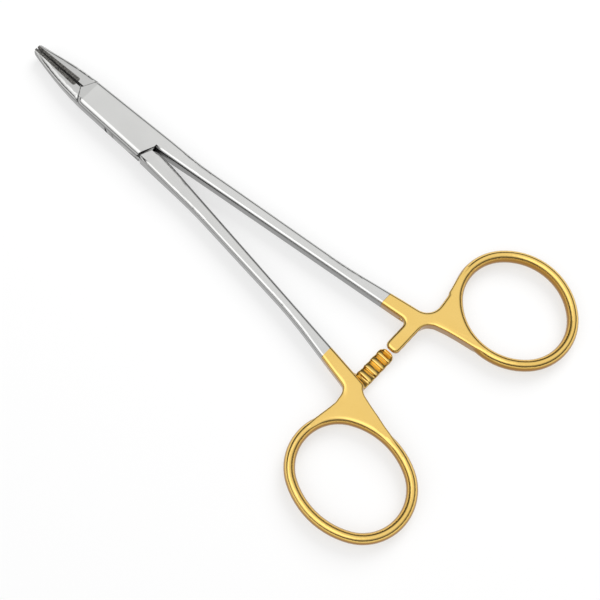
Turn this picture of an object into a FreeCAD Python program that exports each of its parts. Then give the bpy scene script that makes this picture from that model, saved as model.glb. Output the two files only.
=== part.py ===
import FreeCAD, Part
import math
import os

import Sketcher

Vector = FreeCAD.Vector

doc = FreeCAD.newDocument("NeedleHolder")
sheet = doc.addObject("Spreadsheet::Sheet", "sizes")

# Driving sizes in millimetres. +Y points to the jaw tips, +X to the right, and the origin lies on
# the pivot axis at the underside of the box. The middle plane of the steel is halfway up the box.
SIZES = [
    ("box_thick", 6.2, "height of the box over both cheeks"),
    ("tongue_thick", 2.6, "height of the tongue inside the box"),
    ("tongue_play", 0.05, "gap between the tongue and each cheek"),
    ("tongue_radius", 3.9, "round middle of the tongue"),
    ("lock_play", 0.2, "gap between the tongue's edge and the walls of the slot"),
    ("pin_radius", 1.25, "rivet through the box lock"),
    ("pin_play", 0.03, "running gap between the rivet and the tongue"),
    ("seam_front", 0.12, "gap at the front shoulder, along the instrument"),
    ("groove_width", 0.3, "groove across the left jaw in line with the crotch of the jaws"),
    ("groove_deep", 1.3, "depth of that groove"),
    ("seam_rear", 0.86, "gap at the rear shoulder, along the instrument"),
    ("side_left", 3.95, "left side of the box from the pivot axis"),
    ("side_right", 3.69, "right jaw's side where it starts to close in"),
    ("jaw_front", 31.1, "tips of the jaws from the pivot axis"),
    ("jaw_root", 13.4, "crotch between the jaws"),
    ("jaw_shoulder", 11.1, "outer end of the front shoulder"),
    ("jaw_fall", 10.6, "where the jaws start to come down towards the tips"),
    ("jaw_bend", 17.9, "where the jaw's side starts to close in"),
    ("jaw_bend_radius", 90.0, "long curve of the jaw's side"),
    ("jaw_tip_side", 1.46, "half width of the closed jaws at the tips"),
    ("jaw_tip_radius", 0.8, "rounding of each tip"),
    ("jaw_tip_height", 3.3, "height of the jaws at the tips"),
    ("mouth_root", 0.4, "half gap between the jaws behind the pads"),
    ("mouth_rear", 0.34, "half gap between the pads at their rear end"),
    ("mouth_tip", 0.17, "half gap between the pads at the tips"),
    ("pad_rear", 15.2, "rear end of the carbide pads"),
    ("pad_deep_rear", 1.35, "side of the pad away from the mouth, at its rear end"),
    ("pad_deep_tip", 0.8, "side of the pad away from the mouth, at the tip"),
    ("pad_corner", 0.6, "rounded rear corner of the pad"),
    ("shank_start", 13.2, "crotch between the shanks"),
    ("shank_shoulder", 11.1, "outer end of the rear shoulder"),
    ("crotch_x", 0.96, "sideways place of the crotch between the shanks"),
    ("crotch_lower_x", 0.6, "inner side of the left shank at its shoulder"),
    ("inner_bend_y", 20.0, "where the left shank's inner side bends away"),
    ("inner_bend_radius", 80.0, "curve of that bend"),
    ("left_inner_x", 0.5, "left shank's inner side at that place"),
    ("right_root_x", 11.9, "right shank's inner side at its ratchet arm"),
    ("left_root_x", 8.4, "left shank's inner side at its ratchet arm"),
    ("right_bend_x", 5.95, "right shank's outer side at its first bend"),
    ("right_bend_y", 25.0, "place of that bend behind the pivot axis"),
    ("left_bend_x", 4.6, "left shank's outer side at its first bend"),
    ("left_bend_y", 33.0, "place of that bend behind the pivot axis"),
    ("right_sweep_x", 11.7, "right shank's outer side at its second bend"),
    ("right_sweep_y", 73.0, "place of that bend behind the pivot axis"),
    ("left_sweep_x", 8.0, "left shank's outer side at its second bend"),
    ("left_sweep_y", 71.0, "place of that bend behind the pivot axis"),
    ("bend_radius", 150.0, "curve of both bends"),
    ("right_neck_x", 16.6, "corner between the right shank and its ring"),
    ("left_neck_x", 12.9, "corner between the left shank and its ring"),
    ("right_neck_drop", 1.6, "that corner below the right ring's top"),
    ("left_neck_drop", 2.2, "that corner below the left ring's top"),
    ("neck_radius", 4.2, "hollow curve between a shank and its ring"),
    ("right_under_x", 15.2, "corner under the right ratchet arm"),
    ("left_under_x", 11.1, "corner under the left ratchet arm"),
    ("right_under_radius", 2.8, "curve of the corner under the right arm"),
    ("left_under_radius", 2.0, "curve of the corner under the left arm"),
    ("shank_height", 4.9, "height of a shank just behind the box"),
    ("shank_level", 2.5, "stretch behind the box where a shank keeps the box's height"),
    ("shank_slope_end", 26.0, "where a shank has come down to its own height"),
    ("shank_slope_stop", 90.0, "where a shank has come down to its height at the neck"),
    ("slope_radius", 40.0, "curve between two slopes of a shank"),
    ("root_radius", 1.2, "rounded corner of a shank at its ratchet arm"),
    ("arm_front", 94.3, "front edge of the upper ratchet arm"),
    ("arm_rear", 98.2, "rear edge of both ratchet arms"),
    ("arm_lower_front", 93.9, "front edge of the lower ratchet arm"),
    ("arm_meet", 2.9, "where the ends of the two arms meet"),
    ("arm_play", 0.05, "gap between the middle plane and each arm's teeth"),
    ("arm_hollow", 1.5, "hollow curve between an arm's front edge and its shank"),
    ("arm_corner", 1.4, "rounded end of the upper arm"),
    ("tooth_pitch", 2.15, "distance from one ratchet tooth to the next"),
    ("tooth_deep", 0.8, "depth of the ratchet's teeth"),
    ("tooth_count", 4, "teeth on each ratchet arm"),
    ("tooth_ramp", 1.0, "length of the ramp at the arm's end"),
    ("ring_width", 3.0, "width of a ring's bar, seen from above"),
    ("ring_height", 4.6, "height of a ring's bar"),
    ("left_ring_x", 28.08, "left ring's centre from the pivot axis"),
    ("left_ring_y", 111.11, "left ring's centre behind the pivot axis"),
    ("left_ring_across", 13.5, "left ring's half width to the middle of its bar"),
    ("left_ring_long", 16.45, "left ring's half length to the middle of its bar"),
    ("right_ring_x", 33.2, "right ring's centre from the pivot axis"),
    ("right_ring_y", 112.5, "right ring's centre behind the pivot axis"),
    ("right_ring_across", 13.9, "right ring's half width to the middle of its bar"),
    ("right_ring_long", 15.75, "right ring's half length to the middle of its bar"),
    ("ring_end_radius", 12.5, "curve at both ends of a ring"),
    ("web_reach", 4.0, "end of the web short of the ring's middle"),
    ("edge_round", 0.9, "rounding along the steel's outer edges"),
    ("shoulder_round", 1.6, "broad rounding along the left side of the box and its jaw"),
    ("lock_open", 3.1, "front end of the tongue's flush side short of the pivot axis"),
    ("lock_open_rear", 1.9, "rear end of the tongue's flush side short of the pivot axis"),
    ("lock_recess", 0.1, "tongue's sides inside the sides of the box"),
]


class Size:
    """A length together with the expression that gives it from the sheet."""

    def __init__(self, value, text):
        self.value = value
        self.text = text

    def __add__(self, other):
        other = as_size(other)
        return Size(self.value + other.value, f"({self.text} + {other.text})")

    def __sub__(self, other):
        other = as_size(other)
        return Size(self.value - other.value, f"({self.text} - {other.text})")

    def __mul__(self, other):
        other = as_size(other)
        return Size(self.value * other.value, f"({self.text} * {other.text})")

    def __truediv__(self, other):
        other = as_size(other)
        return Size(self.value / other.value, f"({self.text} / {other.text})")

    def __rmul__(self, other):
        return self * other

    def __neg__(self):
        return Size(-self.value, f"(0 - {self.text})")


def as_size(number):
    if isinstance(number, Size):
        return number
    return Size(float(number), repr(float(number)))


cells = {}
for row, (alias, value, meaning) in enumerate(SIZES, start=1):
    sheet.set(f"A{row}", meaning)
    sheet.set(f"B{row}", str(value))
    sheet.setAlias(f"B{row}", alias)
    cells[alias] = Size(float(value), f"sizes.{alias}")
doc.recompute()


def size(alias):
    return cells[alias]


MIDDLE = size("box_thick") / 2


def plane_of(body, role):
    return [f for f in body.Origin.OriginFeatures if f.Role == role][0]


def new_body(name):
    body = doc.addObject("PartDesign::Body", name)
    body.Label = name
    return body


def new_sketch(body, name, role="XY_Plane", offset=None):
    sketch = body.newObject("Sketcher::SketchObject", name)
    sketch.AttachmentSupport = [(plane_of(body, role), "")]
    sketch.MapMode = "FlatFace"
    if offset is not None:
        sketch.AttachmentOffset = FreeCAD.Placement(Vector(0, 0, offset.value), FreeCAD.Rotation())
        sketch.setExpression("AttachmentOffset.Base.z", offset.text)
    return sketch


def bind(sketch, kind, geometry, point, amount):
    """Adds a driving dimension and ties it to the sheet."""
    if kind == "Radius":
        index = sketch.addConstraint(Sketcher.Constraint(kind, geometry, amount.value))
    else:
        index = sketch.addConstraint(
            Sketcher.Constraint(kind, -1, 1, geometry, point, amount.value)
        )
    sketch.setExpression(f"Constraints[{index}]", amount.text)


def outline(sketch, corners):
    """Closed outline through corners (x, y) or (x, y, radius), each rounded by its own radius."""
    corners = [tuple(as_size(v) for v in corner) for corner in corners]
    count = len(corners)
    points = [Vector(c[0].value, c[1].value, 0) for c in corners]
    enters, leaves, arcs = [], [], []
    for i, corner in enumerate(corners):
        here = points[i]
        along = (here - points[i - 1]).normalize()
        away = (points[(i + 1) % count] - here).normalize()
        if len(corner) == 2:
            enters.append(here)
            leaves.append(here)
            arcs.append(None)
            continue
        radius = corner[2].value
        cross = along.x * away.y - along.y * away.x
        turn = math.atan2(cross, along.dot(away))
        cut = radius * math.tan(abs(turn) / 2)
        enter = here - along * cut
        leave = here + away * cut
        left = 1 if turn > 0 else -1
        centre = enter + Vector(-along.y, along.x, 0) * (left * radius)
        enters.append(enter)
        leaves.append(leave)
        arcs.append((centre, radius, left))
    lines = []
    for i in range(count):
        lines.append(sketch.addGeometry(Part.LineSegment(leaves[i], enters[(i + 1) % count])))
    for i, corner in enumerate(corners):
        before, after = lines[i - 1], lines[i]
        if arcs[i] is None:
            sketch.addConstraint(Sketcher.Constraint("Coincident", before, 2, after, 1))
            bind(sketch, "DistanceX", after, 1, corner[0])
            bind(sketch, "DistanceY", after, 1, corner[1])
            continue
        centre, radius, left = arcs[i]
        start = enters[i] if left > 0 else leaves[i]
        end = leaves[i] if left > 0 else enters[i]
        first = math.atan2(start.y - centre.y, start.x - centre.x)
        last = math.atan2(end.y - centre.y, end.x - centre.x)
        circle = Part.Circle(centre, Vector(0, 0, 1), radius)
        arc = sketch.addGeometry(Part.ArcOfCircle(circle, first, last))
        corner_point = sketch.addGeometry(Part.Point(points[i]), True)
        near, far = (1, 2) if left > 0 else (2, 1)
        sketch.addConstraint(Sketcher.Constraint("Tangent", before, 2, arc, near))
        sketch.addConstraint(Sketcher.Constraint("Tangent", arc, far, after, 1))
        sketch.addConstraint(Sketcher.Constraint("PointOnObject", corner_point, 1, before))
        sketch.addConstraint(Sketcher.Constraint("PointOnObject", corner_point, 1, after))
        bind(sketch, "DistanceX", corner_point, 1, corner[0])
        bind(sketch, "DistanceY", corner_point, 1, corner[1])
        bind(sketch, "Radius", arc, None, corner[2])


def circle(sketch, x, y, radius):
    x, y, radius = as_size(x), as_size(y), as_size(radius)
    middle = Vector(x.value, y.value, 0)
    ring = sketch.addGeometry(Part.Circle(middle, Vector(0, 0, 1), radius.value))
    bind(sketch, "DistanceX", ring, 3, x)
    bind(sketch, "DistanceY", ring, 3, y)
    bind(sketch, "Radius", ring, None, radius)


def ellipse(sketch, x, y, long_half, short_half):
    """Upright ellipse: its long half runs along the sketch's second axis."""
    x, y, long_half, short_half = (as_size(v) for v in (x, y, long_half, short_half))
    middle = Vector(x.value, y.value, 0)
    top = Vector(x.value, y.value + long_half.value, 0)
    side = Vector(x.value - short_half.value, y.value, 0)
    curve = sketch.addGeometry(Part.Ellipse(top, side, middle))
    top_point = sketch.addGeometry(Part.Point(top), True)
    side_point = sketch.addGeometry(Part.Point(side), True)
    for point in (top_point, side_point):
        sketch.addConstraint(Sketcher.Constraint("PointOnObject", point, 1, curve))
    bind(sketch, "DistanceX", curve, 3, x)
    bind(sketch, "DistanceY", curve, 3, y)
    bind(sketch, "DistanceX", top_point, 1, x)
    bind(sketch, "DistanceY", top_point, 1, y + long_half)
    bind(sketch, "DistanceX", side_point, 1, x - short_half)
    bind(sketch, "DistanceY", side_point, 1, y)


def oval(sketch, x, y, across, long_half, end_radius):
    """Oval of tangent arcs that starts at its top: two end arcs and two flatter side arcs."""
    cx, cy, a, b, r = (v.value for v in (x, y, across, long_half, end_radius))
    flat = (a * a + (b - r) ** 2 - r * r) / (2 * (a - r))
    lean = math.atan2(b - r, flat - a)
    half = math.pi / 2
    upper = (Vector(cx, cy + b - r, 0), r)
    lower = (Vector(cx, cy - b + r, 0), r)
    left = (Vector(cx + flat - a, cy, 0), flat)
    right = (Vector(cx - flat + a, cy, 0), flat)
    spans = [
        (upper, half, math.pi - lean),
        (left, math.pi - lean, math.pi + lean),
        (lower, math.pi + lean, 2 * math.pi - lean),
        (right, -lean, lean),
        (upper, lean, half),
    ]
    arcs = []
    for (middle, radius), first, last in spans:
        ring = Part.Circle(middle, Vector(0, 0, 1), radius)
        arcs.append(sketch.addGeometry(Part.ArcOfCircle(ring, first, last)))
    for before, after in zip(arcs, arcs[1:]):
        sketch.addConstraint(Sketcher.Constraint("Tangent", before, 2, after, 1))
    sketch.addConstraint(Sketcher.Constraint("Coincident", arcs[4], 2, arcs[0], 1))
    sketch.addConstraint(Sketcher.Constraint("Coincident", arcs[4], 3, arcs[0], 3))
    bind(sketch, "DistanceX", arcs[0], 1, x)
    bind(sketch, "DistanceY", arcs[0], 1, y + long_half)
    bind(sketch, "DistanceX", arcs[0], 3, x)
    bind(sketch, "DistanceY", arcs[0], 3, y + long_half - end_radius)
    bind(sketch, "DistanceX", arcs[2], 3, x)
    bind(sketch, "DistanceY", arcs[2], 3, y - long_half + end_radius)
    bind(sketch, "Radius", arcs[2], None, end_radius)
    for side, arc in ((-1, arcs[1]), (1, arcs[3])):
        place = sketch.addGeometry(Part.Point(Vector(cx + side * a, cy, 0)), True)
        sketch.addConstraint(Sketcher.Constraint("PointOnObject", place, 1, arc))
        bind(sketch, "DistanceX", place, 1, x + side * across)
        bind(sketch, "DistanceY", place, 1, y)


def pad(body, name, sketch, height, symmetric=True):
    feature = body.newObject("PartDesign::Pad", name)
    feature.Profile = sketch
    feature.SideType = "Symmetric" if symmetric else "One side"
    feature.Length = height.value
    feature.setExpression("Length", height.text)
    return feature


def pocket(body, name, sketch, depth):
    """Cuts the sketch's outline out of the body, half of the depth to each side of its plane."""
    feature = body.newObject("PartDesign::Pocket", name)
    feature.Profile = sketch
    feature.SideType = "Symmetric"
    feature.Length = depth.value
    feature.setExpression("Length", depth.text)
    return feature


def wedge_pair(body, name, profile):
    """Cuts the same sloping wedge off the top and the underside of the steel."""
    sketch = new_sketch(body, name + "_profile", "YZ_Plane")
    for side in (1, -1):
        face = MIDDLE + MIDDLE * side
        beyond = face + side * 2
        corners = [(y, face - drop * side, *curve) for y, drop, *curve in profile]
        corners += [(profile[-1][0], beyond), (profile[0][0], beyond)]
        outline(sketch, corners)
    return pocket(body, name, sketch, size("box_thick") * 20)


def jaw_slopes(body, name):
    """Brings a jaw down towards its tip."""
    drop = (size("box_thick") - size("jaw_tip_height")) / 2
    fall = drop / (size("jaw_front") - size("jaw_fall"))
    profile = [(size("jaw_fall"), as_size(0)), (size("jaw_front") + 3, drop + fall * 3)]
    return wedge_pair(body, name, profile)


def shank_slopes(body, name):
    """Brings a shank down to its own height, then slowly on to the ring."""
    start = size("shank_start") + size("shank_level")
    end = size("left_ring_y") + size("right_ring_y")
    drop = (size("box_thick") - size("shank_height")) / 2
    at_neck = (size("box_thick") - size("ring_height")) / 2
    profile = [
        (-start, as_size(0)),
        (-size("shank_slope_end"), drop, size("slope_radius")),
        (-size("shank_slope_stop"), at_neck, size("slope_radius")),
        (-end, at_neck),
    ]
    return wedge_pair(body, name, profile)


def flat_top(face):
    """True for the nearly level faces on the outside of the steel, above or below."""
    box = face.BoundBox
    level = abs(face.normalAt(*[sum(face.ParameterRange[i : i + 2]) / 2 for i in (0, 2)]).z) > 0.9
    return level and min(abs(box.ZMin - MIDDLE.value), abs(box.ZMax - MIDDLE.value)) > 1.5


def round_edges(body, name, radius, wanted):
    """Rounds the edges between the level outer faces and the sides, where wanted says so."""
    doc.recompute()
    base = body.Tip
    shape = base.Shape
    names = []
    for number, edge in enumerate(shape.Edges, start=1):
        faces = shape.ancestorsOfType(edge, Part.Face)
        tops = [flat_top(f) for f in faces]
        if len(faces) != 2 or tops.count(True) != 1:
            continue
        low, high = edge.ParameterRange
        if wanted(edge.valueAt((low + high) / 2)):
            names.append(f"Edge{number}")
    feature = body.newObject("PartDesign::Fillet", name)
    feature.Base = (base, names)
    feature.Radius = radius.value
    feature.setExpression("Radius", radius.text)
    return feature


def closed_jaws():
    """Outline of the closed jaws from the left bend round the square tips to the right bend."""
    return [
        (-size("side_left"), size("jaw_bend"), size("jaw_bend_radius")),
        (-size("jaw_tip_side"), size("jaw_front")),
        (size("jaw_tip_side"), size("jaw_front")),
        (size("side_right"), size("jaw_bend"), size("jaw_bend_radius")),
    ]


def mouth_line(side):
    """Inner edge of a jaw from its root to just past its tip, side is 1 for the right jaw."""
    close = (size("mouth_rear") - size("mouth_tip")) / (size("jaw_front") - size("pad_rear"))
    return [
        (side * size("mouth_root"), size("pad_rear")),
        (side * size("mouth_rear"), size("pad_rear")),
        (side * (size("mouth_tip") - close), size("jaw_front") + 1),
    ]


def round_tip(body, name, side):
    """Rounds the tip of one jaw, seen from above."""
    sketch = new_sketch(body, name, "XY_Plane", MIDDLE)
    radius = size("jaw_tip_radius")
    tip = size("jaw_tip_side")
    lean = (size("side_right") - tip) / (size("jaw_front") - size("jaw_bend"))
    low = size("jaw_front") - radius * 2
    outline(
        sketch,
        [
            (side * (tip + radius * 2 * lean), low),
            (side * tip, size("jaw_front"), radius),
            (side * -1, size("jaw_front")),
            (side * -1, size("jaw_front") + 2),
            (side * (tip + 2), size("jaw_front") + 2),
            (side * (tip + 2), low),
        ],
    )
    pocket(body, name + "_cut", sketch, size("box_thick") * 2)


def right_side(y):
    """Right side of the box, a straight line from the jaw's bend to the shank's first bend."""
    lean = (size("right_bend_x") - size("side_right")) / (size("jaw_bend") + size("right_bend_y"))
    return size("side_right") + (size("jaw_bend") - y) * lean


def front_seam(x):
    """Front edge of the cheeks, from the crotch of the jaws to the right side of the box."""
    outer_x = right_side(size("jaw_shoulder"))
    fall = (size("jaw_root") - size("jaw_shoulder")) / (outer_x + size("mouth_root"))
    return size("jaw_root") - (x + size("mouth_root")) * fall


def rear_seam(x):
    """Rear edge of the cheeks, from the left side of the box to the crotch of the shanks."""
    fall = (size("shank_start") - size("shank_shoulder")) / (size("crotch_x") + size("side_left"))
    return -(size("shank_shoulder") + (x + size("side_left")) * fall)


def shank_corners(name, side, inner_start):
    """Shank, neck and the tip of the web in the ring, from the inner side round to the outer."""
    ring_x = size(name + "_ring_x")
    ring_y = size(name + "_ring_y")
    top = size(name + "_ring_long") - ring_y
    return inner_start + [
        (side * size(name + "_root_x"), -size("arm_rear"), size("root_radius")),
        (side * size(name + "_under_x"), -size("arm_rear"), size(name + "_under_radius")),
        (side * (ring_x - size(name + "_ring_across")), -ring_y),
        (side * (ring_x - size("web_reach")), top),
        (side * size(name + "_neck_x"), top - size(name + "_neck_drop"), size("neck_radius")),
        (side * size(name + "_sweep_x"), -size(name + "_sweep_y"), size("bend_radius")),
        (side * size(name + "_bend_x"), -size(name + "_bend_y"), size("bend_radius")),
    ]


def ring_oval(body, name, side, title):
    """The middle of the ring's bar, seen from above."""
    sketch = new_sketch(body, name + title, "XY_Plane", MIDDLE)
    oval(
        sketch,
        side * size(name + "_ring_x"),
        -size(name + "_ring_y"),
        size(name + "_ring_across"),
        size(name + "_ring_long"),
        size("ring_end_radius"),
    )
    return sketch


def finger_ring(body, name, side):
    """Opens the web along the middle of the ring's bar, then sweeps the bar round."""
    hole = ring_oval(body, name, side, "_ring_hole")
    pocket(body, name + "_ring_opening", hole, size("box_thick") * 2)
    path = ring_oval(body, name, side, "_ring_path")
    section = new_sketch(
        body, name + "_ring_section", "YZ_Plane", side * size(name + "_ring_x")
    )
    top = size(name + "_ring_long") - size(name + "_ring_y")
    ellipse(section, top, MIDDLE, size("ring_height") / 2, size("ring_width") / 2)
    doc.recompute()
    bar = body.newObject("PartDesign::AdditivePipe", name + "_ring")
    bar.Profile = section
    bar.Spine = (path, [])
    bar.Mode = "Frenet"
    return bar


def inside_ring(point, name, side):
    """True for a place inside the middle line of a ring's bar."""
    across = (point.x - side * size(name + "_ring_x").value) / size(name + "_ring_across").value
    along = (point.y + size(name + "_ring_y").value) / size(name + "_ring_long").value
    return math.hypot(across, along) < 0.95


def build_box_half():
    body = new_body("box_half")
    shank = new_sketch(body, "right_shank_plan", "XY_Plane", MIDDLE)
    hidden = size("shank_shoulder") - 2
    lean = (size("right_root_x") - size("crotch_x")) / (size("arm_rear") - size("shank_start"))
    inner = [(size("crotch_x") - (size("shank_start") - hidden) * lean, -hidden)]
    outline(shank, shank_corners("right", 1, inner) + [(right_side(-hidden), -hidden)])
    pad(body, "right_shank", shank, size("box_thick"))
    shank_slopes(body, "right_shank_slopes")
    ratchet_arm(body, "right", 1, 1)

    def outside(point):
        lean = (size("right_sweep_x") - size("right_bend_x")) / (size("right_sweep_y") - size("right_bend_y"))
        middle = size("right_bend_x").value - 1.6 - (point.y + size("right_bend_y").value) * lean.value
        return point.x > middle and point.y > -size("arm_rear").value

    def on_inner_side(point):
        hidden_end = point.y > -hidden.value - 0.1
        return not hidden_end and not outside(point) and not inside_ring(point, "right", 1)

    round_edges(body, "right_shank_rounding", size("edge_round"), on_inner_side)

    plan = new_sketch(body, "box_plan", "XY_Plane", MIDDLE)
    behind = rear_seam(size("crotch_x"))
    corners = [
        (right_side(behind), behind),
        (size("crotch_x"), behind),
        (-size("side_left"), rear_seam(-size("side_left"))),
    ]
    outline(plan, corners + closed_jaws())
    pad(body, "box_block", plan, size("box_thick"))
    jaw_slopes(body, "left_jaw_slopes")

    def on_left_side(point):
        return point.x < -size("jaw_tip_side").value + 0.1 and point.y > -size("shank_shoulder").value

    def on_right_side(point):
        if point.y < behind.value:
            return outside(point) and not inside_ring(point, "right", 1)
        beside = point.x > min(right_side(as_size(point.y)).value, size("side_right").value) - 0.2
        return beside and point.y < size("jaw_front").value - 0.1

    round_edges(body, "left_shoulder_rounding", size("shoulder_round"), on_left_side)
    round_edges(body, "right_edge_rounding", size("edge_round"), on_right_side)
    away = size("side_right") * 2
    mouth = new_sketch(body, "left_jaw_mouth", "XY_Plane", MIDDLE)
    outline(
        mouth,
        [(-size("mouth_root"), size("jaw_root"))]
        + mouth_line(-1)
        + [
            (away, size("jaw_front") + 1),
            (away, size("jaw_shoulder")),
            (right_side(size("jaw_shoulder")), size("jaw_shoulder")),
        ],
    )
    pocket(body, "left_jaw_clearing", mouth, size("box_thick") * 2)
    round_tip(body, "left_tip", -1)
    for side in (0, 1):
        groove = new_sketch(body, f"jaw_groove_plan_{side}", "XY_Plane", size("box_thick") * side)
        reach = size("side_left") + 1
        fall = (size("jaw_root") - size("jaw_shoulder")) / (size("side_left") - size("mouth_root"))
        high = size("jaw_root") + (size("mouth_root") + size("groove_width")) * fall
        low = high - reach * fall
        outline(
            groove,
            [
                (as_size(0), high),
                (-reach, low),
                (-reach, low - size("groove_width")),
                (as_size(0), high - size("groove_width")),
            ],
        )
        pocket(body, f"jaw_groove_{side}", groove, size("groove_deep") * 2)

    slot = new_sketch(body, "slot_plan", "XY_Plane", MIDDLE)
    wall = size("mouth_root") - size("lock_play")
    open_side = size("side_left") * 2
    outline(
        slot,
        [
            (wall, as_size(0)),
            (wall, size("jaw_root") + 2),
            (open_side, size("jaw_root") + 2),
            (open_side, as_size(0)),
        ],
    )
    slot_height = size("tongue_thick") + size("tongue_play") * 2
    pocket(body, "slot_front", slot, slot_height)
    slot = new_sketch(body, "slot_rear_plan", "XY_Plane", MIDDLE)
    wall = size("mouth_root") + size("lock_play")
    outline(
        slot,
        [
            (wall, as_size(0)),
            (wall, -(size("shank_start") + 2)),
            (-open_side, -(size("shank_start") + 2)),
            (-open_side, as_size(0)),
        ],
    )
    pocket(body, "slot_rear", slot, slot_height)
    middle = new_sketch(body, "slot_middle_plan", "XY_Plane", MIDDLE)
    circle(middle, 0, 0, size("tongue_radius") + size("lock_play"))
    pocket(body, "slot_middle", middle, slot_height)
    hole = new_sketch(body, "pin_hole_plan", "XY_Plane", MIDDLE)
    circle(hole, 0, 0, size("pin_radius"))
    pocket(body, "pin_hole", hole, size("box_thick") * 2)
    return body


def build_tongue_half():
    body = new_body("tongue_half")
    shank = new_sketch(body, "left_shank_plan", "XY_Plane", MIDDLE)
    left = -size("side_left")
    inner = [
        (left, rear_seam(left) - size("seam_rear")),
        (size("crotch_lower_x"), rear_seam(size("crotch_lower_x")) - size("seam_rear")),
        (size("left_inner_x"), -size("inner_bend_y"), size("inner_bend_radius")),
    ]
    outline(shank, shank_corners("left", -1, inner))
    pad(body, "left_shank", shank, size("box_thick"))
    shank_slopes(body, "left_shank_slopes")

    ratchet_arm(body, "left", -1, -1)

    def on_shank(point):
        at_seam = -2.5 < point.x < 0 and point.y > -size("inner_bend_y").value
        return not at_seam and not inside_ring(point, "left", -1)

    round_edges(body, "left_shank_rounding", size("edge_round"), on_shank)

    edge = size("tongue_radius") * 0.7
    waist = size("lock_open")
    waist_rear = size("lock_open_rear")
    rear = new_sketch(body, "tongue_rear_plan", "XY_Plane", MIDDLE)
    behind = rear_seam(size("crotch_x")) - size("seam_rear") - 1
    outline(
        rear,
        [
            (size("mouth_root"), as_size(0)),
            (size("mouth_root"), behind),
            (-size("side_left") + size("lock_recess"), behind),
            (-size("side_left") + size("lock_recess"), -waist_rear),
            (-edge, -edge),
        ],
    )
    pad(body, "tongue_rear", rear, size("tongue_thick"))
    disc = new_sketch(body, "tongue_plan", "XY_Plane", MIDDLE)
    circle(disc, 0, 0, size("tongue_radius"))
    pad(body, "tongue", disc, size("tongue_thick"))
    front = new_sketch(body, "tongue_front_plan", "XY_Plane", MIDDLE)
    outline(
        front,
        [
            (size("mouth_root"), as_size(0)),
            (size("mouth_root"), size("pad_rear")),
            (right_side(size("jaw_shoulder")) - size("lock_recess") * 4, size("pad_rear")),
            (right_side(size("jaw_shoulder")) - size("lock_recess"), size("jaw_shoulder")),
            (right_side(waist) - size("lock_recess"), waist),
            (edge, edge),
        ],
    )
    pad(body, "tongue_front", front, size("tongue_thick"))

    jaw = new_sketch(body, "right_jaw_plan", "XY_Plane", MIDDLE)
    shoulder = size("jaw_shoulder") + size("seam_front")
    corners = [
        (right_side(shoulder), shoulder),
        (size("mouth_root"), front_seam(size("mouth_root")) + size("seam_front")),
        (size("mouth_root"), size("pad_rear")),
        (size("mouth_rear"), size("pad_rear")),
        (size("mouth_tip"), size("jaw_front")),
    ]
    outline(jaw, corners + closed_jaws()[2:])
    pad(body, "right_jaw", jaw, size("box_thick"))
    jaw_slopes(body, "right_jaw_slopes")

    def on_jaw_side(point):
        beside = point.x > min(right_side(as_size(point.y)).value, size("side_right").value) - 1.4
        return beside and size("jaw_shoulder").value < point.y < size("jaw_front").value - 0.1

    round_edges(body, "right_jaw_rounding", size("edge_round"), on_jaw_side)
    round_tip(body, "right_tip", 1)
    hole = new_sketch(body, "tongue_hole_plan", "XY_Plane", MIDDLE)
    circle(hole, 0, 0, size("pin_radius") + size("pin_play"))
    pocket(body, "tongue_hole", hole, size("box_thick") * 2)
    return body


def ratchet_arm(body, name, side, level):
    """Arm across the gap between the shanks; level is 1 above the middle plane, -1 below it."""
    height = size("ring_height") / 2 - size("arm_play")
    lift = MIDDLE + level * (size("arm_play") + height / 2)
    plan = new_sketch(body, name + "_arm_plan", "XY_Plane", lift)
    front = -size("arm_front") if level > 0 else -size("arm_lower_front")
    end = size("arm_meet")
    root = side * size(name + "_under_x")
    outline(
        plan,
        [
            (root, front),
            (end, front, size("arm_corner")),
            (end, -size("arm_rear"), size("arm_corner")),
            (root, -size("arm_rear")),
        ],
    )
    arm = pad(body, name + "_arm", plan, height)
    doc.recompute()
    names = []
    for number, edge in enumerate(arm.Shape.Edges, start=1):
        box = edge.BoundBox
        upright = box.ZLength > height.value / 2 and max(box.XLength, box.YLength) < 0.01
        at_front = abs(box.Center.y - front.value) < 0.01
        if upright and at_front and abs(box.Center.x) > size("left_root_x").value - 1:
            names.append(f"Edge{number}")
    hollow = body.newObject("PartDesign::Fillet", name + "_arm_hollow")
    hollow.Base = (arm, names)
    hollow.Radius = size("arm_hollow").value
    hollow.setExpression("Radius", size("arm_hollow").text)


def ratchet_teeth(body, name, side, level):
    """Saw teeth on the face of the arm that looks at the middle plane, and a ramp at its end."""
    face = MIDDLE + level * size("arm_play")
    deep = face + level * size("tooth_deep")
    over = face - level * 0.3
    pitch = size("tooth_pitch")
    across = size("arm_rear") - size("arm_lower_front") + 4
    plane = (size("arm_rear") + size("arm_lower_front")) / 2
    profile = new_sketch(body, name + "_teeth_profile", "XZ_Plane", plane)
    ramp = size("arm_meet") + side * size("tooth_ramp")
    outline(profile, [(ramp, face), (size("arm_meet"), deep), (size("arm_meet"), over), (ramp, over)])
    for count in range(int(size("tooth_count").value)):
        start = ramp + side * (pitch * (count + 0.35))
        corners = [
            (start, face),
            (start + side * (pitch * 0.25), deep),
            (start + side * (pitch * 0.45), face),
            (start + side * (pitch * 0.45), over),
            (start, over),
        ]
        outline(profile, corners)
    pocket(body, name + "_teeth", profile, across)


def carbide_pad(name, side):
    """The pad's own outline, in line with the jaw's top, underside and mouth."""
    return [
        (side * size("mouth_rear"), size("pad_rear")),
        (side * size("mouth_tip"), size("jaw_front")),
        (side * size("pad_deep_tip"), size("jaw_front")),
        (side * size("pad_deep_rear"), size("pad_rear"), size("pad_corner")),
    ]


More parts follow.
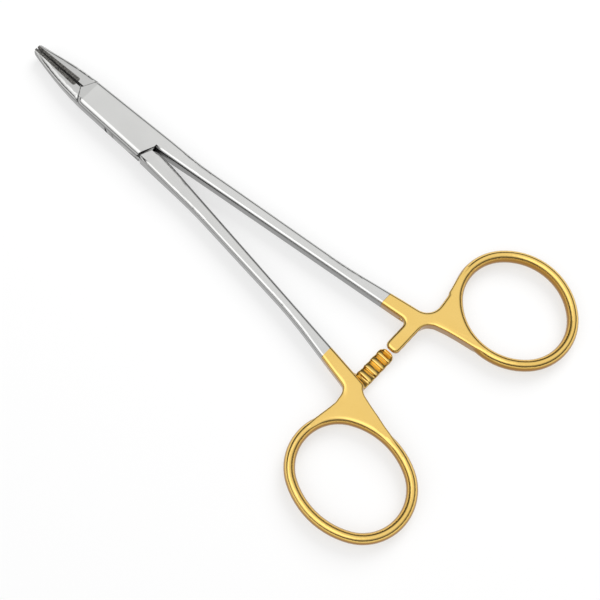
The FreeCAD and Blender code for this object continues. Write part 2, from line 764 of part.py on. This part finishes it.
def pad_seat(body, name, side):
    """Recess for the pad, open towards the mouth and the tip."""
    seat = new_sketch(body, name + "_seat_plan", "XY_Plane", MIDDLE)
    rear, tip = size("mouth_rear"), size("mouth_tip")
    front = size("jaw_front")
    corners = [
        (side * (rear - 1), size("pad_rear")),
        (side * (tip - 1), front + 1),
        (side * size("pad_deep_tip"), front + 1),
        (side * size("pad_deep_tip"), front),
        (side * size("pad_deep_rear"), size("pad_rear"), size("pad_corner")),
    ]
    outline(seat, corners)
    pocket(body, name + "_seat", seat, size("box_thick") * 2)


def build_insert(name, side):
    body = new_body(name)
    plan = new_sketch(body, name + "_plan", "XY_Plane", MIDDLE)
    outline(plan, carbide_pad(name, side))
    pad(body, name + "_blank", plan, size("box_thick"))
    jaw_slopes(body, name + "_slopes")
    return body


def build_pin():
    body = new_body("pivot_pin")
    plan = new_sketch(body, "pin_plan", "XY_Plane", MIDDLE)
    circle(plan, 0, 0, size("pin_radius"))
    pad(body, "pin", plan, size("box_thick"))
    return body


box_half = build_box_half()
ratchet_teeth(box_half, "right", 1, 1)
finger_ring(box_half, "right", 1)
pad_seat(box_half, "left_pad", -1)
tongue_half = build_tongue_half()
ratchet_teeth(tongue_half, "left", -1, -1)
finger_ring(tongue_half, "left", -1)
pad_seat(tongue_half, "right_pad", 1)
pivot_pin = build_pin()
left_insert = build_insert("left_insert", -1)
right_insert = build_insert("right_insert", 1)
doc.recompute()

faulty = [o.Label for o in doc.Objects if "Invalid" in o.State or "Error" in o.State]
if faulty:
    raise RuntimeError("failed: " + ", ".join(faulty))
os.makedirs("parts", exist_ok=True)
for part in (box_half, tongue_half, pivot_pin, left_insert, right_insert):
    if part.Shape.isNull() or not part.Shape.isValid():
        raise RuntimeError("bad shape: " + part.Label)
    print(part.Label, len(part.Shape.Solids), round(part.Shape.Volume, 2), part.Shape.BoundBox)
    part.Shape.exportStep(f"parts/{part.Label}.step")
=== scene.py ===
import math

import bpy
from mathutils import Matrix, Vector


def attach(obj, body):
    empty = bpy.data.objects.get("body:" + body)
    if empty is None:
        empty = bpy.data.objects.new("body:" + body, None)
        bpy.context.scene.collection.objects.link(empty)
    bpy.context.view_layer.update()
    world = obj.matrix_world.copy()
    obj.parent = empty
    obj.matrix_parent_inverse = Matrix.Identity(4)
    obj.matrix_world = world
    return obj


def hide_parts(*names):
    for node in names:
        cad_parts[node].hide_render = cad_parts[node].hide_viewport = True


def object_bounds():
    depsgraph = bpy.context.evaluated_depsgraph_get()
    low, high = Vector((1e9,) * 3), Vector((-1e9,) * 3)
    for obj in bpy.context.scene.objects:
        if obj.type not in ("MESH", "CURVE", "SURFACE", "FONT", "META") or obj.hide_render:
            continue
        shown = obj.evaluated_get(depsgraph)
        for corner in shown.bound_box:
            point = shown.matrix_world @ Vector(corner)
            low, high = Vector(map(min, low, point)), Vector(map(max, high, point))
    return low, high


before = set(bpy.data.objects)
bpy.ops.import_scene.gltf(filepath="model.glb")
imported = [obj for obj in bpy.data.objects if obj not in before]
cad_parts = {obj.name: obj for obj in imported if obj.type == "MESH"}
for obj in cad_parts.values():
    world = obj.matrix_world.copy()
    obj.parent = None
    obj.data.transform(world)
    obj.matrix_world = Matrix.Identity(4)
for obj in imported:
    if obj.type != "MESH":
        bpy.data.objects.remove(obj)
cad_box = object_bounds()

# Camera of the photograph, in metres
LOOK_AT = Vector((-0.00285, -0.0700, 0.0031))
CAMERA_DISTANCE = 0.374
CAMERA_ELEVATION = math.radians(73.5)
CAMERA_RIGHT = Vector((0.6850, -0.7285, 0.0))
LENS = 86.4
SENSOR = 36.0

# Studio: each fade is a start, an end, and the strength at the start and at the end
CEILING_FADE = (0.34, 0.92, 0.10, 1.00)
FAR_END_FADE = (0.34, 0.90, 1.00, 0.50)
CARD_FADE = (0.76, 0.90, 0.00, 0.70)
HORIZON_FADE = (0.06, 0.10, 1.00, 0.00)
CARD_DIRECTION = (-0.55, 0.20, 0.81)
KEY_OFFSET = (0.5, 0.1, 0.5)
KEY_SIZE = 0.45
KEY_POWER = 3.0
FLOOR_SIZE = 4.0
FLOOR_GAP = 0.00005
FLOOR_GREY = 0.9
FLOOR_GLOW = 0.60

# Steel and plating
STEEL_DARK = (0.62, 0.62, 0.61)
STEEL_LIGHT = (0.68, 0.68, 0.67)
GOLD_DARK = (0.85, 0.57, 0.16)
GOLD_LIGHT = (0.88, 0.61, 0.19)
# Dark brown painted shade on the plating's steep flanks
GOLD_FLANK_SHADE = (0.34, 0.17, 0.03)
TONES_AT = (0.3, 0.7)
CLOUD_STRETCH = (90.0, 60.0, 90.0)
GRAIN_STRETCH = (3000.0, 500.0, 3000.0)
SATIN_ROUGHNESS = (0.12, 0.18)
SATIN_RELIEF = (0.02, 0.00001)
PLATING_START_RIGHT = -0.0863
PLATING_START_LEFT = -0.0848
PLATING_FADE = 0.0001

# Painted shade: on faces that stand steep, and in the seams and the slot of the box lock, in metres
FLANK_SHADE = 0.31
FLANK_FADE = (0.30, 0.72)
SEAM_SHADE = 0.05
SEAM_FACING = 0.7
LEVEL_FACING = 0.9
LOCK_HALF_LENGTH = 0.0145
LOCK_MIDDLE = 0.0031
SLOT_HALF_HEIGHT = 0.00136
SLOT_LEFT = -0.0037
SLOT_RIGHT = 0.0034

# Carbide
CARBIDE_DARK = (0.03, 0.03, 0.03)
CARBIDE_LIGHT = (0.30, 0.29, 0.27)
CARBIDE_TONES_AT = (0.35, 0.65)
CARBIDE_STRETCH = (1.0, 1.0, 1.0)
CARBIDE_GRAIN = 4000.0
CARBIDE_ROUGHNESS = 0.5
CARBIDE_RELIEF = (0.5, 0.0001)

# Meshes of the two forgings: lengths in metres, and the upward share of a ground face's normal
VOXEL = 0.0002
MERGE_REACH = 0.000001
SMOOTH_ANGLE = math.radians(30)
GROUND_FLAT = 0.99

# Stock that is built up between shank, arm and ring: plan outlines and heights in millimetres
WEB_LOW = 0.9
WEB_HIGH = 5.3
ARM_TOP = 3.05
RIGHT_INNER_WEB = [
    (12.4, -98.0), (13.4, -98.3), (14.4, -98.9), (15.4, -100.3), (16.3, -103.2),
    (17.0, -106.3), (17.5, -109.0), (17.93, -111.5), (18.56, -114.0), (19.55, -116.5),
    (20.2, -115.5), (19.0, -104.0), (17.0, -98.0), (14.0, -97.0),
]
RIGHT_OUTER_WEB = [
    (24.5, -97.1), (26.0, -96.78), (28.0, -96.3), (29.5, -96.0), (31.0, -95.82),
    (33.0, -95.88), (35.5, -96.77), (35.0, -97.2), (30.0, -97.4), (26.0, -98.6),
    (24.5, -98.7),
]
LEFT_INNER_WEB = [
    (-9.2, -97.6), (-10.4, -99.5), (-11.2, -102.4), (-12.05, -106.0), (-12.73, -108.5),
    (-13.23, -111.0), (-13.92, -113.5), (-14.98, -116.0), (-15.6, -115.0),
    (-15.2, -104.0), (-13.0, -99.0), (-11.0, -97.0),
]
LEFT_OUTER_WEB = [
    (-11.5, -93.2), (-12.3, -94.0), (-13.9, -94.95), (-16.7, -95.4), (-19.9, -94.9),
    (-22.0, -94.54), (-24.0, -94.25), (-26.0, -94.25), (-28.0, -94.56), (-28.0, -95.3),
    (-26.7, -95.4), (-19.9, -97.5), (-14.0, -98.0), (-11.0, -96.0),
]
LOWER_ARM = [
    (-9.6, -98.1), (-9.6, -94.0), (1.7, -94.0), (2.5, -94.4), (2.8, -95.2),
    (2.8, -96.9), (2.5, -97.7), (1.7, -98.1),
]

# Where the stock is drawn smooth: centre, full reach and outer reach in millimetres
RIGHT_WEB_ZONES = [(17.5, -102.0, 6.5, 12.0), (18.0, -111.0, 3.0, 7.0), (26.0, -97.0, 2.0, 6.0)]
RIGHT_ARM_ZONES = [(3.5, -96.0, 5.0, 8.0), (11.0, -95.5, 3.0, 6.0)]
LEFT_WEB_ZONES = [
    (-14.5, -102.0, 5.5, 12.0), (-21.0, -97.0, 3.0, 7.0), (-13.8, -111.0, 3.0, 7.0),
    (-26.0, -94.5, 3.0, 7.0), (-12.5, -94.5, 2.5, 5.0),
]
LEFT_ARM_ZONES = [(-1.0, -96.0, 8.0, 9.5)]
WEB_PASSES = 34
UPPER_ARM_PASSES = 12
LOWER_ARM_PASSES = 4

# Ridges of the lower ratchet arm, in millimetres
ARM_MIDDLE = -96.05
ARM_HALF_WIDTH = 2.1
ARM_END = 3.2
ARM_SIDES = (-98.6, -93.4)
ABOVE_ARM = 3.2
ARM_CROWN = 0.35
RIDGE_FROM = -6.92
RIDGE_PITCH = 2.35
RIDGE_DEEP = 0.9
RIDGE_ROOT = 1.4
RIDGE_LEAD = 0.7
RIDGE_RUN_IN = 0.6
RIDGE_RISE = 0.2
RIDGE_BACK = 1.6
RIDGE_FLARE = 0.07
FLARE_MIDDLE = 0.6


def empty_material(name):
    """A new material with its nodes cleared, the nodes and the links."""
    material = bpy.data.materials.new(name)
    material.use_nodes = True
    material.node_tree.nodes.clear()
    return material, material.node_tree.nodes, material.node_tree.links


def metal(name):
    """A new bare metal, its nodes, its links and its shader."""
    material, nodes, links = empty_material(name)
    output = nodes.new("ShaderNodeOutputMaterial")
    shader = nodes.new("ShaderNodeBsdfPrincipled")
    shader.inputs["Metallic"].default_value = 1.0
    links.new(shader.outputs["BSDF"], output.inputs["Surface"])
    return material, nodes, links, shader


def noise(nodes, links, stretch, scale, detail):
    """Noise on Object coordinates, stretched by its own share along each axis."""
    place = nodes.new("ShaderNodeTexCoord")
    mapping = nodes.new("ShaderNodeMapping")
    mapping.inputs["Scale"].default_value = stretch
    links.new(place.outputs["Object"], mapping.inputs["Vector"])
    texture = nodes.new("ShaderNodeTexNoise")
    texture.inputs["Scale"].default_value = scale
    texture.inputs["Detail"].default_value = detail
    links.new(mapping.outputs["Vector"], texture.inputs["Vector"])
    return texture.outputs["Fac"]


def two_tones(nodes, links, factor, positions, dark, light):
    """A ramp from a dark to a light tone between two positions."""
    node = nodes.new("ShaderNodeValToRGB")
    for element, position, colour in zip(node.color_ramp.elements, positions, (dark, light)):
        element.position = position
        element.color = (*colour, 1.0)
    links.new(factor, node.inputs["Fac"])
    return node.outputs["Color"]


def between(nodes, links, value, start, end, low, high, kind="SMOOTHSTEP"):
    """Goes from low to high while the value goes from start to end."""
    node = nodes.new("ShaderNodeMapRange")
    node.interpolation_type = kind
    node.inputs["From Min"].default_value = start
    node.inputs["From Max"].default_value = end
    node.inputs["To Min"].default_value = low
    node.inputs["To Max"].default_value = high
    links.new(value, node.inputs["Value"])
    return node.outputs["Result"]


def combine(nodes, links, operation, first, second=None):
    """A sum or a test on one socket, with a second socket or a number where it takes one."""
    node = nodes.new("ShaderNodeMath")
    node.operation = operation
    links.new(first, node.inputs[0])
    if isinstance(second, (int, float)):
        node.inputs[1].default_value = second
    elif second is not None:
        links.new(second, node.inputs[1])
    return node.outputs[0]


def mix_colours(nodes, links, kind, factor, first, second):
    """Two colours mixed by a socket or a number."""
    node = nodes.new("ShaderNodeMix")
    node.data_type = "RGBA"
    node.blend_type = kind
    for socket, value in (("Factor", factor), ("A", first), ("B", second)):
        if isinstance(value, (float, tuple)):
            node.inputs[socket].default_value = value
        else:
            links.new(value, node.inputs[socket])
    return node.outputs["Result"]


def axes_of(nodes, links, vector):
    """The X, Y and Z sockets of a vector socket."""
    node = nodes.new("ShaderNodeSeparateXYZ")
    links.new(vector, node.inputs["Vector"])
    return node.outputs["X"], node.outputs["Y"], node.outputs["Z"]


def relief(nodes, links, shader, height, strength, distance):
    """Fine relief on the shader's surface."""
    bump = nodes.new("ShaderNodeBump")
    bump.inputs["Strength"].default_value = strength
    bump.inputs["Distance"].default_value = distance
    links.new(height, bump.inputs["Height"])
    links.new(bump.outputs["Normal"], shader.inputs["Normal"])


def painted_shade_of_faces(nodes, links):
    """Painted shade as a factor: 1 on the ground top and underside, less on the flanks, near 0 in the seams
    and on the slot's walls.
    """
    place = nodes.new("ShaderNodeTexCoord")
    _, facing_y, facing_z = axes_of(nodes, links, place.outputs["Normal"])
    x, y, z = axes_of(nodes, links, place.outputs["Object"])
    levelness = combine(nodes, links, "ABSOLUTE", facing_z)
    # Painted shade: steep flanks get a darker base colour
    flank_painted_shade = between(nodes, links, levelness, *FLANK_FADE, FLANK_SHADE, 1.0)
    along = combine(nodes, links, "ABSOLUTE", facing_y)
    at_lock = combine(nodes, links, "LESS_THAN", combine(nodes, links, "ABSOLUTE", y), LOCK_HALF_LENGTH)
    across_jaws = combine(nodes, links, "GREATER_THAN", along, SEAM_FACING)
    seam = combine(nodes, links, "MULTIPLY", across_jaws, at_lock)
    off_middle = combine(nodes, links, "ABSOLUTE", combine(nodes, links, "SUBTRACT", z, LOCK_MIDDLE))
    slot = at_lock
    for operation, value, limit in (
        ("LESS_THAN", off_middle, SLOT_HALF_HEIGHT),
        ("LESS_THAN", levelness, LEVEL_FACING),
        ("GREATER_THAN", x, SLOT_LEFT),
        ("LESS_THAN", x, SLOT_RIGHT),
    ):
        slot = combine(nodes, links, "MULTIPLY", slot, combine(nodes, links, operation, value, limit))
    # Painted shade: seams across the jaws and the slot's walls in the box lock are painted near black
    painted_seam_shade_mask = combine(nodes, links, "MAXIMUM", seam, slot)
    return combine(nodes, links, "MULTIPLY", flank_painted_shade, between(nodes, links, painted_seam_shade_mask, 0.0, 1.0, 1.0, SEAM_SHADE))


def satin_steel(name, plating_start=None):
    """Satin stainless steel with painted shade on steep flanks, in the seams and on the slot's walls, gold
    plated behind plating_start with a dark brown painted shade on its flanks.
    """
    material, nodes, links, shader = metal(name)
    grain = noise(nodes, links, GRAIN_STRETCH, 2.0, 3.0)
    cloud = noise(nodes, links, CLOUD_STRETCH, 1.0, 3.0)
    # share is the painted shade factor: darker on steep flanks, near black in the seams and on the slot's
    # walls
    share = painted_shade_of_faces(nodes, links)
    steel = two_tones(nodes, links, cloud, TONES_AT, STEEL_DARK, STEEL_LIGHT)
    colour = mix_colours(nodes, links, "MULTIPLY", 1.0, steel, share)
    if plating_start is not None:
        gold = two_tones(nodes, links, cloud, TONES_AT, GOLD_DARK, GOLD_LIGHT)
        # The plating's painted shade: gold on level faces, fading to dark brown on steep flanks
        lit = between(nodes, links, share, FLANK_SHADE, 1.0, 0.0, 1.0)
        plating = mix_colours(nodes, links, "MIX", lit, (*GOLD_FLANK_SHADE, 1.0), gold)
        place = nodes.new("ShaderNodeTexCoord")
        _, y, _ = axes_of(nodes, links, place.outputs["Object"])
        front, rear = plating_start + PLATING_FADE, plating_start - PLATING_FADE
        plated = between(nodes, links, y, front, rear, 0.0, 1.0, "LINEAR")
        colour = mix_colours(nodes, links, "MIX", plated, colour, plating)
    links.new(colour, shader.inputs["Base Color"])
    roughness = between(nodes, links, grain, 0.0, 1.0, *SATIN_ROUGHNESS, "LINEAR")
    links.new(roughness, shader.inputs["Roughness"])
    relief(nodes, links, shader, grain, *SATIN_RELIEF)
    return material


def carbide(name):
    """Dark sintered carbide with a fine grip."""
    material, nodes, links, shader = metal(name)
    grain = noise(nodes, links, CARBIDE_STRETCH, CARBIDE_GRAIN, 2.0)
    colour = two_tones(nodes, links, grain, CARBIDE_TONES_AT, CARBIDE_DARK, CARBIDE_LIGHT)
    links.new(colour, shader.inputs["Base Color"])
    shader.inputs["Roughness"].default_value = CARBIDE_ROUGHNESS
    relief(nodes, links, shader, grain, *CARBIDE_RELIEF)
    return material


def give_finish(piece, material):
    """The piece's one material."""
    piece.data.materials.clear()
    piece.data.materials.append(material)


def deselect_all():
    """Nothing selected."""
    for piece in bpy.context.selected_objects:
        piece.select_set(False)


def select_only(*pieces):
    """Only these pieces selected, the first one active."""
    deselect_all()
    for piece in pieces:
        piece.select_set(True)
    bpy.context.view_layer.objects.active = pieces[0]


def copy_of(source, name):
    """A copy of a piece with its own mesh."""
    piece = source.copy()
    piece.data = source.data.copy()
    piece.name = name
    bpy.context.collection.objects.link(piece)
    return piece


def merged_copy(node, name):
    """The node's solid as one connected mesh."""
    piece = copy_of(bpy.data.objects[node], name)
    piece.parent = None
    select_only(piece)
    bpy.ops.object.mode_set(mode="EDIT")
    bpy.ops.mesh.select_all(action="SELECT")
    bpy.ops.mesh.remove_doubles(threshold=MERGE_REACH)
    bpy.ops.object.mode_set(mode="OBJECT")
    return piece


def cut_across(piece, y, keep_front):
    """Cut the piece across at y, close the cut, and keep one end."""
    select_only(piece)
    bpy.ops.object.mode_set(mode="EDIT")
    bpy.ops.mesh.select_all(action="SELECT")
    bpy.ops.mesh.bisect(
        plane_co=(0, y, 0), plane_no=(0, 1, 0), use_fill=True,
        clear_inner=keep_front, clear_outer=not keep_front,
    )
    bpy.ops.object.mode_set(mode="OBJECT")


def stock_block(name, plan, low, high):
    """A flat block of stock over a plan outline in millimetres."""
    deselect_all()
    bpy.ops.mesh.primitive_circle_add(vertices=len(plan), radius=0.001, fill_type="NGON")
    block = bpy.context.object
    block.name = name
    for vertex, (x, y) in zip(block.data.vertices, plan):
        vertex.co = (x / 1000, y / 1000, low / 1000)
    bpy.ops.object.mode_set(mode="EDIT")
    bpy.ops.mesh.select_all(action="SELECT")
    bpy.ops.mesh.extrude_region_move(TRANSFORM_OT_translate={"value": (0, 0, (high - low) / 1000)})
    bpy.ops.mesh.select_all(action="SELECT")
    bpy.ops.mesh.normals_make_consistent(inside=False)
    bpy.ops.object.mode_set(mode="OBJECT")
    return block


def draw_smooth(piece, name, zones, passes):
    """Draw the surface smooth in the zones."""
    group = piece.vertex_groups.new(name=name)
    for vertex in piece.data.vertices:
        share = 0.0
        for x, y, full, outer in zones:
            away = math.hypot(vertex.co.x * 1000 - x, vertex.co.y * 1000 - y)
            share = max(share, min(1.0, max(0.0, (outer - away) / (outer - full))))
        if share > 0:
            group.add([vertex.index], share, "REPLACE")
    select_only(piece)
    bpy.ops.object.modifier_add(type="SMOOTH")
    smoothing = piece.modifiers[-1]
    smoothing.factor = 0.5
    smoothing.iterations = passes
    smoothing.vertex_group = name
    bpy.ops.object.modifier_apply(modifier=smoothing.name)


def rough_forging(node, name, plating_start, stock):
    """The node's forging in two pieces, with stock on the plated one."""
    front = merged_copy(node, name)
    rear = copy_of(front, name + "_rear")
    cut_across(front, plating_start, True)
    cut_across(rear, plating_start, False)
    blocks = [stock_block(f"{name}_stock_{i}", *block) for i, block in enumerate(stock)]
    select_only(rear, *blocks)
    bpy.ops.object.join()
    rear.data.remesh_voxel_size = VOXEL
    bpy.ops.object.voxel_remesh()
    return front, rear


def finished_forging(front, rear, plating_start):
    """Join both ends, plate the rear one and keep the ground faces flat."""
    select_only(front, rear)
    bpy.ops.object.join()
    give_finish(front, satin_steel(front.name + "_steel", plating_start))
    select_only(front)
    bpy.ops.object.shade_smooth_by_angle(angle=SMOOTH_ANGLE)
    for face in front.data.polygons:
        if abs(face.normal.z) > GROUND_FLAT and face.center.y > plating_start:
            face.use_smooth = False
    bpy.ops.object.modifier_add(type="WEIGHTED_NORMAL")
    weighting = front.modifiers[-1]
    weighting.keep_sharp = True
    bpy.ops.object.modifier_apply(modifier=weighting.name)


def ridge_height(x):
    """Share of a ridge's full height at x: a round front and a long curved back."""
    phase = (x - RIDGE_FROM) / RIDGE_PITCH
    part = phase % 1.0
    if phase < 0:
        return min(1.0, -phase * RIDGE_PITCH / RIDGE_RUN_IN)
    if part < RIDGE_RISE:
        return math.sin(math.pi / 2 * part / RIDGE_RISE)
    return 1 - ((part - RIDGE_RISE) / (1 - RIDGE_RISE)) ** RIDGE_BACK


def draw_ridges(piece):
    """Round-backed ridges across the top of the lower ratchet arm."""
    for vertex in piece.data.vertices:
        x, y, z = (value * 1000 for value in vertex.co)
        on_arm = RIDGE_FROM - RIDGE_LEAD < x < ARM_END and ARM_SIDES[0] < y < ARM_SIDES[1]
        if not (on_arm and RIDGE_ROOT < z < ABOVE_ARM):
            continue
        height = ridge_height(x)
        off_middle = y - ARM_MIDDLE
        crown = ARM_CROWN * (abs(off_middle) / ARM_HALF_WIDTH) ** 3
        top = ARM_TOP - RIDGE_DEEP * (1 - height) - crown
        share = (top - RIDGE_ROOT) / (ARM_TOP - RIDGE_ROOT)
        vertex.co.z = (RIDGE_ROOT + (z - RIDGE_ROOT) * share) / 1000
        vertex.co.y = (ARM_MIDDLE + off_middle * (1 + RIDGE_FLARE * (height - FLARE_MIDDLE))) / 1000


def right_half():
    """Box, left jaw, right shank, upper ratchet arm and right ring."""
    stock = [(RIGHT_INNER_WEB, WEB_LOW, WEB_HIGH), (RIGHT_OUTER_WEB, WEB_LOW, WEB_HIGH)]
    front, rear = rough_forging("box_half", "right_half", PLATING_START_RIGHT, stock)
    draw_smooth(rear, "web", RIGHT_WEB_ZONES, WEB_PASSES)
    draw_smooth(rear, "arm", RIGHT_ARM_ZONES, UPPER_ARM_PASSES)
    finished_forging(front, rear, PLATING_START_RIGHT)
    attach(front, "box_half")
    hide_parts("box_half")


def left_half():
    """Tongue, right jaw, left shank, lower ratchet arm and left ring."""
    stock = [
        (LEFT_INNER_WEB, WEB_LOW, WEB_HIGH),
        (LEFT_OUTER_WEB, WEB_LOW, WEB_HIGH),
        (LOWER_ARM, WEB_LOW, ARM_TOP),
    ]
    front, rear = rough_forging("tongue_half", "left_half", PLATING_START_LEFT, stock)
    draw_ridges(rear)
    draw_smooth(rear, "web", LEFT_WEB_ZONES, WEB_PASSES)
    draw_smooth(rear, "arm", LEFT_ARM_ZONES, LOWER_ARM_PASSES)
    finished_forging(front, rear, PLATING_START_LEFT)
    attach(front, "tongue_half")
    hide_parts("tongue_half")


def floor():
    """Plain white floor that keeps part of the shadow."""
    bpy.ops.mesh.primitive_plane_add(size=FLOOR_SIZE, location=(0, 0, cad_box[0][2] - FLOOR_GAP))
    table = bpy.context.object
    table.name = "floor"
    material, nodes, links = empty_material("floor_white")
    output = nodes.new("ShaderNodeOutputMaterial")
    diffuse = nodes.new("ShaderNodeBsdfDiffuse")
    diffuse.inputs["Color"].default_value = (FLOOR_GREY, FLOOR_GREY, FLOOR_GREY, 1.0)
    glow = nodes.new("ShaderNodeEmission")
    glow.inputs["Color"].default_value = (1.0, 1.0, 1.0, 1.0)
    rays = nodes.new("ShaderNodeLightPath").outputs
    seen = combine(nodes, links, "MAXIMUM", rays["Is Camera Ray"], rays["Is Glossy Ray"])
    seen = combine(nodes, links, "MAXIMUM", seen, rays["Is Transmission Ray"])
    mix = nodes.new("ShaderNodeMixShader")
    links.new(combine(nodes, links, "MULTIPLY", seen, FLOOR_GLOW), mix.inputs["Fac"])
    links.new(diffuse.outputs[0], mix.inputs[1])
    links.new(glow.outputs[0], mix.inputs[2])
    links.new(mix.outputs[0], output.inputs["Surface"])
    give_finish(table, material)


def light_tent():
    """Bright overhead, darker low down and at the far end, a card on the left, a white horizon."""
    tent = bpy.data.worlds.new("light_tent")
    tent.use_nodes = True
    nodes = tent.node_tree.nodes
    links = tent.node_tree.links
    direction = nodes.new("ShaderNodeTexCoord").outputs["Generated"]
    _, far, up = axes_of(nodes, links, direction)
    towards_card = nodes.new("ShaderNodeVectorMath")
    towards_card.operation = "DOT_PRODUCT"
    towards_card.inputs[1].default_value = CARD_DIRECTION
    links.new(direction, towards_card.inputs[0])
    ceiling = between(nodes, links, up, *CEILING_FADE)
    far_end = between(nodes, links, far, *FAR_END_FADE)
    card = between(nodes, links, towards_card.outputs["Value"], *CARD_FADE)
    horizon = between(nodes, links, up, *HORIZON_FADE)
    level = combine(nodes, links, "MULTIPLY", ceiling, far_end)
    level = combine(nodes, links, "ADD", level, card)
    level = combine(nodes, links, "MAXIMUM", level, horizon)
    background = nodes["Background"]
    background.inputs["Color"].default_value = (1.0, 1.0, 1.0, 1.0)
    links.new(level, background.inputs["Strength"])
    bpy.context.scene.world = tent


def key_lamp():
    """A soft area lamp, aimed at the middle of the object."""
    data = bpy.data.lights.new("key", "AREA")
    data.shape = "RECTANGLE"
    data.size = KEY_SIZE
    data.size_y = KEY_SIZE
    data.energy = KEY_POWER
    piece = bpy.data.objects.new("key", data)
    piece.location = LOOK_AT + Vector(KEY_OFFSET)
    piece.rotation_euler = (-Vector(KEY_OFFSET)).to_track_quat("-Z", "Y").to_euler()
    piece.visible_glossy = False
    bpy.context.collection.objects.link(piece)


def photo_camera():
    """The photograph's view, down on the instrument with its jaws to the upper left."""
    data = bpy.data.cameras.new("photo_camera")
    data.lens = LENS
    data.sensor_width = SENSOR
    piece = bpy.data.objects.new("photo_camera", data)
    ahead = Vector((-CAMERA_RIGHT.y, CAMERA_RIGHT.x, 0.0))
    back = -ahead * math.cos(CAMERA_ELEVATION) + Vector((0, 0, math.sin(CAMERA_ELEVATION)))
    up = back.cross(CAMERA_RIGHT)
    turn = Matrix((CAMERA_RIGHT, up, back)).transposed().to_4x4()
    piece.matrix_world = Matrix.Translation(LOOK_AT + back * CAMERA_DISTANCE) @ turn
    bpy.context.collection.objects.link(piece)
    bpy.context.scene.camera = piece


right_half()
left_half()
deselect_all()
give_finish(bpy.data.objects["pivot_pin"], satin_steel("pin_steel"))
give_finish(bpy.data.objects["left_insert"], carbide("left_carbide"))
give_finish(bpy.data.objects["right_insert"], carbide("right_carbide"))

floor()
light_tent()
key_lamp()
photo_camera()
bpy.context.scene.view_settings.view_transform = "Standard"
